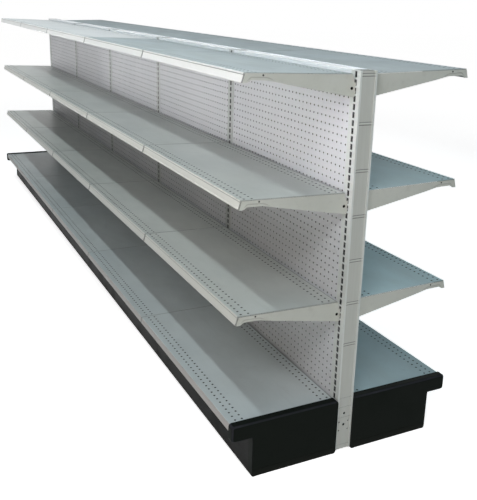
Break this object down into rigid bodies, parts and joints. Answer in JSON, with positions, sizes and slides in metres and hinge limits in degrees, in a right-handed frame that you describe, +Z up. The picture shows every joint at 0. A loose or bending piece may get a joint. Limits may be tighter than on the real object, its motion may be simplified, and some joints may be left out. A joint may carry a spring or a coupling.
{
  "type": "shelving",
  "caption": "Double-sided gondola shelving run with slotted uprights, hooked steel shelves, pegboard backs and black base covers",
  "frame": {"origin": "floor level, middle of the run in plan", "axes": "X along the run, +X towards the near end of the picture; -Y faces side a; Z up"},
  "size_m": [4.6354, 0.886, 1.3462],
  "materials": {
    "upright_paint": "satin light grey powder coat",
    "shelf_paint": "semi-gloss pale grey powder coat",
    "pegboard": "painted hardboard, matt off-white",
    "rail_paint": "satin white powder coat",
    "base_steel": "dark grey powder coat",
    "kick_black": "satin black powder coat",
    "cover_black": "moulded black plastic, lightly polished",
    "foot_zinc": "zinc plated"
  },
  "bodies": {
    "frame": {"upright_1": "upright_paint", "upright_2": "upright_paint", "upright_3": "upright_paint", "upright_4": "upright_paint", "upright_5": "upright_paint", "upright_6": "upright_paint", "back_panels_a": "pegboard", "back_panels_b": "pegboard", "top_rails": "rail_paint", "centre_rails": "rail_paint", "bottom_rails": "rail_paint", "base_brackets_a": "base_steel", "base_brackets_b": "base_steel", "kick_plates_a": "kick_black", "kick_plates_b": "kick_black", "end_cover_right_a": "cover_black", "end_cover_right_b": "cover_black", "end_cover_left_a": "cover_black", "end_cover_left_b": "cover_black", "levelling_feet": "foot_zinc"},
    "shelf_a_upper_1_body": {"shelf_a_upper_1": "shelf_paint"},
    "shelf_a_upper_2_body": {"shelf_a_upper_2": "shelf_paint"},
    "shelf_a_upper_3_body": {"shelf_a_upper_3": "shelf_paint"},
    "shelf_a_upper_4_body": {"shelf_a_upper_4": "shelf_paint"},
    "shelf_a_upper_5_body": {"shelf_a_upper_5": "shelf_paint"},
    "shelf_a_middle_1_body": {"shelf_a_middle_1": "shelf_paint"},
    "shelf_a_middle_2_body": {"shelf_a_middle_2": "shelf_paint"},
    "shelf_a_middle_3_body": {"shelf_a_middle_3": "shelf_paint"},
    "shelf_a_middle_4_body": {"shelf_a_middle_4": "shelf_paint"},
    "shelf_a_middle_5_body": {"shelf_a_middle_5": "shelf_paint"},
    "shelf_a_lower_1_body": {"shelf_a_lower_1": "shelf_paint"},
    "shelf_a_lower_2_body": {"shelf_a_lower_2": "shelf_paint"},
    "shelf_a_lower_3_body": {"shelf_a_lower_3": "shelf_paint"},
    "shelf_a_lower_4_body": {"shelf_a_lower_4": "shelf_paint"},
    "shelf_a_lower_5_body": {"shelf_a_lower_5": "shelf_paint"},
    "shelf_b_upper_1_body": {"shelf_b_upper_1": "shelf_paint"},
    "shelf_b_upper_2_body": {"shelf_b_upper_2": "shelf_paint"},
    "shelf_b_upper_3_body": {"shelf_b_upper_3": "shelf_paint"},
    "shelf_b_upper_4_body": {"shelf_b_upper_4": "shelf_paint"},
    "shelf_b_upper_5_body": {"shelf_b_upper_5": "shelf_paint"},
    "shelf_b_middle_1_body": {"shelf_b_middle_1": "shelf_paint"},
    "shelf_b_middle_2_body": {"shelf_b_middle_2": "shelf_paint"},
    "shelf_b_middle_3_body": {"shelf_b_middle_3": "shelf_paint"},
    "shelf_b_middle_4_body": {"shelf_b_middle_4": "shelf_paint"},
    "shelf_b_middle_5_body": {"shelf_b_middle_5": "shelf_paint"},
    "shelf_b_lower_1_body": {"shelf_b_lower_1": "shelf_paint"},
    "shelf_b_lower_2_body": {"shelf_b_lower_2": "shelf_paint"},
    "shelf_b_lower_3_body": {"shelf_b_lower_3": "shelf_paint"},
    "shelf_b_lower_4_body": {"shelf_b_lower_4": "shelf_paint"},
    "shelf_b_lower_5_body": {"shelf_b_lower_5": "shelf_paint"},
    "base_deck_a_1_body": {"base_deck_a_1": "shelf_paint"},
    "base_deck_a_2_body": {"base_deck_a_2": "shelf_paint"},
    "base_deck_a_3_body": {"base_deck_a_3": "shelf_paint"},
    "base_deck_a_4_body": {"base_deck_a_4": "shelf_paint"},
    "base_deck_a_5_body": {"base_deck_a_5": "shelf_paint"},
    "base_deck_b_1_body": {"base_deck_b_1": "shelf_paint"},
    "base_deck_b_2_body": {"base_deck_b_2": "shelf_paint"},
    "base_deck_b_3_body": {"base_deck_b_3": "shelf_paint"},
    "base_deck_b_4_body": {"base_deck_b_4": "shelf_paint"},
    "base_deck_b_5_body": {"base_deck_b_5": "shelf_paint"}
  },
  "joints": [
    {"name": "shelf_a_upper_1_tilt", "type": "hinge", "parent": "frame", "child": "shelf_a_upper_1_body", "pos_m": [-1.8288, -0.02975, 1.29935], "axis": [-1, 0, 0], "range_deg": [0, 15]},
    {"name": "shelf_a_upper_2_tilt", "type": "hinge", "parent": "frame", "child": "shelf_a_upper_2_body", "pos_m": [-0.9144, -0.02975, 1.29935], "axis": [-1, 0, 0], "range_deg": [0, 15]},
    {"name": "shelf_a_upper_3_tilt", "type": "hinge", "parent": "frame", "child": "shelf_a_upper_3_body", "pos_m": [0, -0.02975, 1.29935], "axis": [-1, 0, 0], "range_deg": [0, 15]},
    {"name": "shelf_a_upper_4_tilt", "type": "hinge", "parent": "frame", "child": "shelf_a_upper_4_body", "pos_m": [0.9144, -0.02975, 1.29935], "axis": [-1, 0, 0], "range_deg": [0, 15]},
    {"name": "shelf_a_upper_5_tilt", "type": "hinge", "parent": "frame", "child": "shelf_a_upper_5_body", "pos_m": [1.8288, -0.02975, 1.29935], "axis": [-1, 0, 0], "range_deg": [0, 15]},
    {"name": "shelf_a_middle_1_tilt", "type": "hinge", "parent": "frame", "child": "shelf_a_middle_1_body", "pos_m": [-1.8288, -0.02975, 0.91835], "axis": [-1, 0, 0], "range_deg": [0, 15]},
    {"name": "shelf_a_middle_2_tilt", "type": "hinge", "parent": "frame", "child": "shelf_a_middle_2_body", "pos_m": [-0.9144, -0.02975, 0.91835], "axis": [-1, 0, 0], "range_deg": [0, 15]},
    {"name": "shelf_a_middle_3_tilt", "type": "hinge", "parent": "frame", "child": "shelf_a_middle_3_body", "pos_m": [0, -0.02975, 0.91835], "axis": [-1, 0, 0], "range_deg": [0, 15]},
    {"name": "shelf_a_middle_4_tilt", "type": "hinge", "parent": "frame", "child": "shelf_a_middle_4_body", "pos_m": [0.9144, -0.02975, 0.91835], "axis": [-1, 0, 0], "range_deg": [0, 15]},
    {"name": "shelf_a_middle_5_tilt", "type": "hinge", "parent": "frame", "child": "shelf_a_middle_5_body", "pos_m": [1.8288, -0.02975, 0.91835], "axis": [-1, 0, 0], "range_deg": [0, 15]},
    {"name": "shelf_a_lower_1_tilt", "type": "hinge", "parent": "frame", "child": "shelf_a_lower_1_body", "pos_m": [-1.8288, -0.02975, 0.53735], "axis": [-1, 0, 0], "range_deg": [0, 15]},
    {"name": "shelf_a_lower_2_tilt", "type": "hinge", "parent": "frame", "child": "shelf_a_lower_2_body", "pos_m": [-0.9144, -0.02975, 0.53735], "axis": [-1, 0, 0], "range_deg": [0, 15]},
    {"name": "shelf_a_lower_3_tilt", "type": "hinge", "parent": "frame", "child": "shelf_a_lower_3_body", "pos_m": [0, -0.02975, 0.53735], "axis": [-1, 0, 0], "range_deg": [0, 15]},
    {"name": "shelf_a_lower_4_tilt", "type": "hinge", "parent": "frame", "child": "shelf_a_lower_4_body", "pos_m": [0.9144, -0.02975, 0.53735], "axis": [-1, 0, 0], "range_deg": [0, 15]},
    {"name": "shelf_a_lower_5_tilt", "type": "hinge", "parent": "frame", "child": "shelf_a_lower_5_body", "pos_m": [1.8288, -0.02975, 0.53735], "axis": [-1, 0, 0], "range_deg": [0, 15]},
    {"name": "shelf_b_upper_1_tilt", "type": "hinge", "parent": "frame", "child": "shelf_b_upper_1_body", "pos_m": [-1.8288, 0.02975, 1.29935], "axis": [1, 0, 0], "range_deg": [0, 15]},
    {"name": "shelf_b_upper_2_tilt", "type": "hinge", "parent": "frame", "child": "shelf_b_upper_2_body", "pos_m": [-0.9144, 0.02975, 1.29935], "axis": [1, 0, 0], "range_deg": [0, 15]},
    {"name": "shelf_b_upper_3_tilt", "type": "hinge", "parent": "frame", "child": "shelf_b_upper_3_body", "pos_m": [0, 0.02975, 1.29935], "axis": [1, 0, 0], "range_deg": [0, 15]},
    {"name": "shelf_b_upper_4_tilt", "type": "hinge", "parent": "frame", "child": "shelf_b_upper_4_body", "pos_m": [0.9144, 0.02975, 1.29935], "axis": [1, 0, 0], "range_deg": [0, 15]},
    {"name": "shelf_b_upper_5_tilt", "type": "hinge", "parent": "frame", "child": "shelf_b_upper_5_body", "pos_m": [1.8288, 0.02975, 1.29935], "axis": [1, 0, 0], "range_deg": [0, 15]},
    {"name": "shelf_b_middle_1_tilt", "type": "hinge", "parent": "frame", "child": "shelf_b_middle_1_body", "pos_m": [-1.8288, 0.02975, 0.91835], "axis": [1, 0, 0], "range_deg": [0, 15]},
    {"name": "shelf_b_middle_2_tilt", "type": "hinge", "parent": "frame", "child": "shelf_b_middle_2_body", "pos_m": [-0.9144, 0.02975, 0.91835], "axis": [1, 0, 0], "range_deg": [0, 15]},
    {"name": "shelf_b_middle_3_tilt", "type": "hinge", "parent": "frame", "child": "shelf_b_middle_3_body", "pos_m": [0, 0.02975, 0.91835], "axis": [1, 0, 0], "range_deg": [0, 15]},
    {"name": "shelf_b_middle_4_tilt", "type": "hinge", "parent": "frame", "child": "shelf_b_middle_4_body", "pos_m": [0.9144, 0.02975, 0.91835], "axis": [1, 0, 0], "range_deg": [0, 15]},
    {"name": "shelf_b_middle_5_tilt", "type": "hinge", "parent": "frame", "child": "shelf_b_middle_5_body", "pos_m": [1.8288, 0.02975, 0.91835], "axis": [1, 0, 0], "range_deg": [0, 15]},
    {"name": "shelf_b_lower_1_tilt", "type": "hinge", "parent": "frame", "child": "shelf_b_lower_1_body", "pos_m": [-1.8288, 0.02975, 0.53735], "axis": [1, 0, 0], "range_deg": [0, 15]},
    {"name": "shelf_b_lower_2_tilt", "type": "hinge", "parent": "frame", "child": "shelf_b_lower_2_body", "pos_m": [-0.9144, 0.02975, 0.53735], "axis": [1, 0, 0], "range_deg": [0, 15]},
    {"name": "shelf_b_lower_3_tilt", "type": "hinge", "parent": "frame", "child": "shelf_b_lower_3_body", "pos_m": [0, 0.02975, 0.53735], "axis": [1, 0, 0], "range_deg": [0, 15]},
    {"name": "shelf_b_lower_4_tilt", "type": "hinge", "parent": "frame", "child": "shelf_b_lower_4_body", "pos_m": [0.9144, 0.02975, 0.53735], "axis": [1, 0, 0], "range_deg": [0, 15]},
    {"name": "shelf_b_lower_5_tilt", "type": "hinge", "parent": "frame", "child": "shelf_b_lower_5_body", "pos_m": [1.8288, 0.02975, 0.53735], "axis": [1, 0, 0], "range_deg": [0, 15]},
    {"name": "base_deck_a_1_lift", "type": "slide", "parent": "frame", "child": "base_deck_a_1_body", "axis": [0, 0, 1], "range_m": [0, 0.12]},
    {"name": "base_deck_a_2_lift", "type": "slide", "parent": "frame", "child": "base_deck_a_2_body", "axis": [0, 0, 1], "range_m": [0, 0.12]},
    {"name": "base_deck_a_3_lift", "type": "slide", "parent": "frame", "child": "base_deck_a_3_body", "axis": [0, 0, 1], "range_m": [0, 0.12]},
    {"name": "base_deck_a_4_lift", "type": "slide", "parent": "frame", "child": "base_deck_a_4_body", "axis": [0, 0, 1], "range_m": [0, 0.12]},
    {"name": "base_deck_a_5_lift", "type": "slide", "parent": "frame", "child": "base_deck_a_5_body", "axis": [0, 0, 1], "range_m": [0, 0.12]},
    {"name": "base_deck_b_1_lift", "type": "slide", "parent": "frame", "child": "base_deck_b_1_body", "axis": [0, 0, 1], "range_m": [0, 0.12]},
    {"name": "base_deck_b_2_lift", "type": "slide", "parent": "frame", "child": "base_deck_b_2_body", "axis": [0, 0, 1], "range_m": [0, 0.12]},
    {"name": "base_deck_b_3_lift", "type": "slide", "parent": "frame", "child": "base_deck_b_3_body", "axis": [0, 0, 1], "range_m": [0, 0.12]},
    {"name": "base_deck_b_4_lift", "type": "slide", "parent": "frame", "child": "base_deck_b_4_body", "axis": [0, 0, 1], "range_m": [0, 0.12]},
    {"name": "base_deck_b_5_lift", "type": "slide", "parent": "frame", "child": "base_deck_b_5_body", "axis": [0, 0, 1], "range_m": [0, 0.12]}
  ]
}
